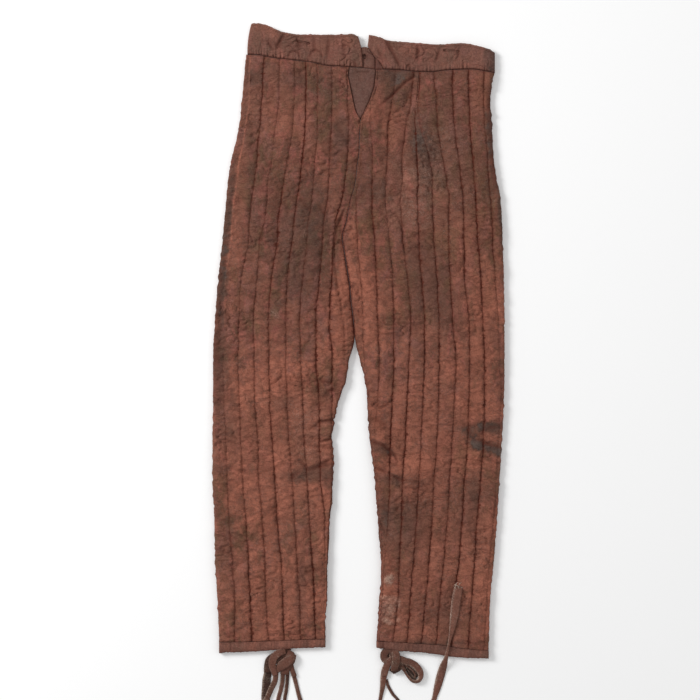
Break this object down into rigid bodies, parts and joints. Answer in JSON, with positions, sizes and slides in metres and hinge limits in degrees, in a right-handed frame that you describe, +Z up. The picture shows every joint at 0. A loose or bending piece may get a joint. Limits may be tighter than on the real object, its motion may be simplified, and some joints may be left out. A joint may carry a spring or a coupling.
{
  "type": "quilted trouser liner",
  "caption": "Quilted cloth trouser liner laid flat on its front: two padded legs, waistband notched at the centre back with a vent gusset, and tape ties at the hems.",
  "frame": {"origin": "on the surface that the liner lies on, under the middle of the garment's own box, ties left out", "axes": "+Z up from the surface, +Y along the legs towards the waistband, +X to the right leg as the laid-out back is seen from above"},
  "size_m": [0.468, 1.1658, 0.0134],
  "materials": {
    "quilted_cloth": "mottled red-brown cotton, padded and quilted in lengthwise channels, matt and worn",
    "plain_cloth": "plain brown cotton of the waistband, gusset and hem bindings, matt and puckered",
    "tie_tape": "flat folded cotton tape, grey-brown, matt"
  },
  "bodies": {
    "root": {"leg_left_back": "quilted_cloth", "leg_right_back": "quilted_cloth", "leg_left_front": "quilted_cloth", "leg_right_front": "quilted_cloth", "vent_gusset": "plain_cloth", "band_left_back": "plain_cloth", "band_right_back": "plain_cloth", "band_left_front": "plain_cloth", "band_right_front": "plain_cloth", "band_bridge_back": "plain_cloth", "band_bridge_front": "plain_cloth", "hem_left_back": "plain_cloth", "hem_left_front": "plain_cloth", "hem_right_back": "plain_cloth", "hem_right_front": "plain_cloth", "tie_left_wide": "tie_tape", "tie_left_crossing": "tie_tape", "tie_left_middle": "tie_tape", "tie_left_inner": "tie_tape", "tie_left_outer": "tie_tape", "tie_right_wide": "tie_tape", "tie_right_thin": "tie_tape", "tie_right_loop": "tie_tape", "leg_tape": "tie_tape", "knot_left": "tie_tape", "knot_right": "tie_tape"}
  },
  "joints": []
}
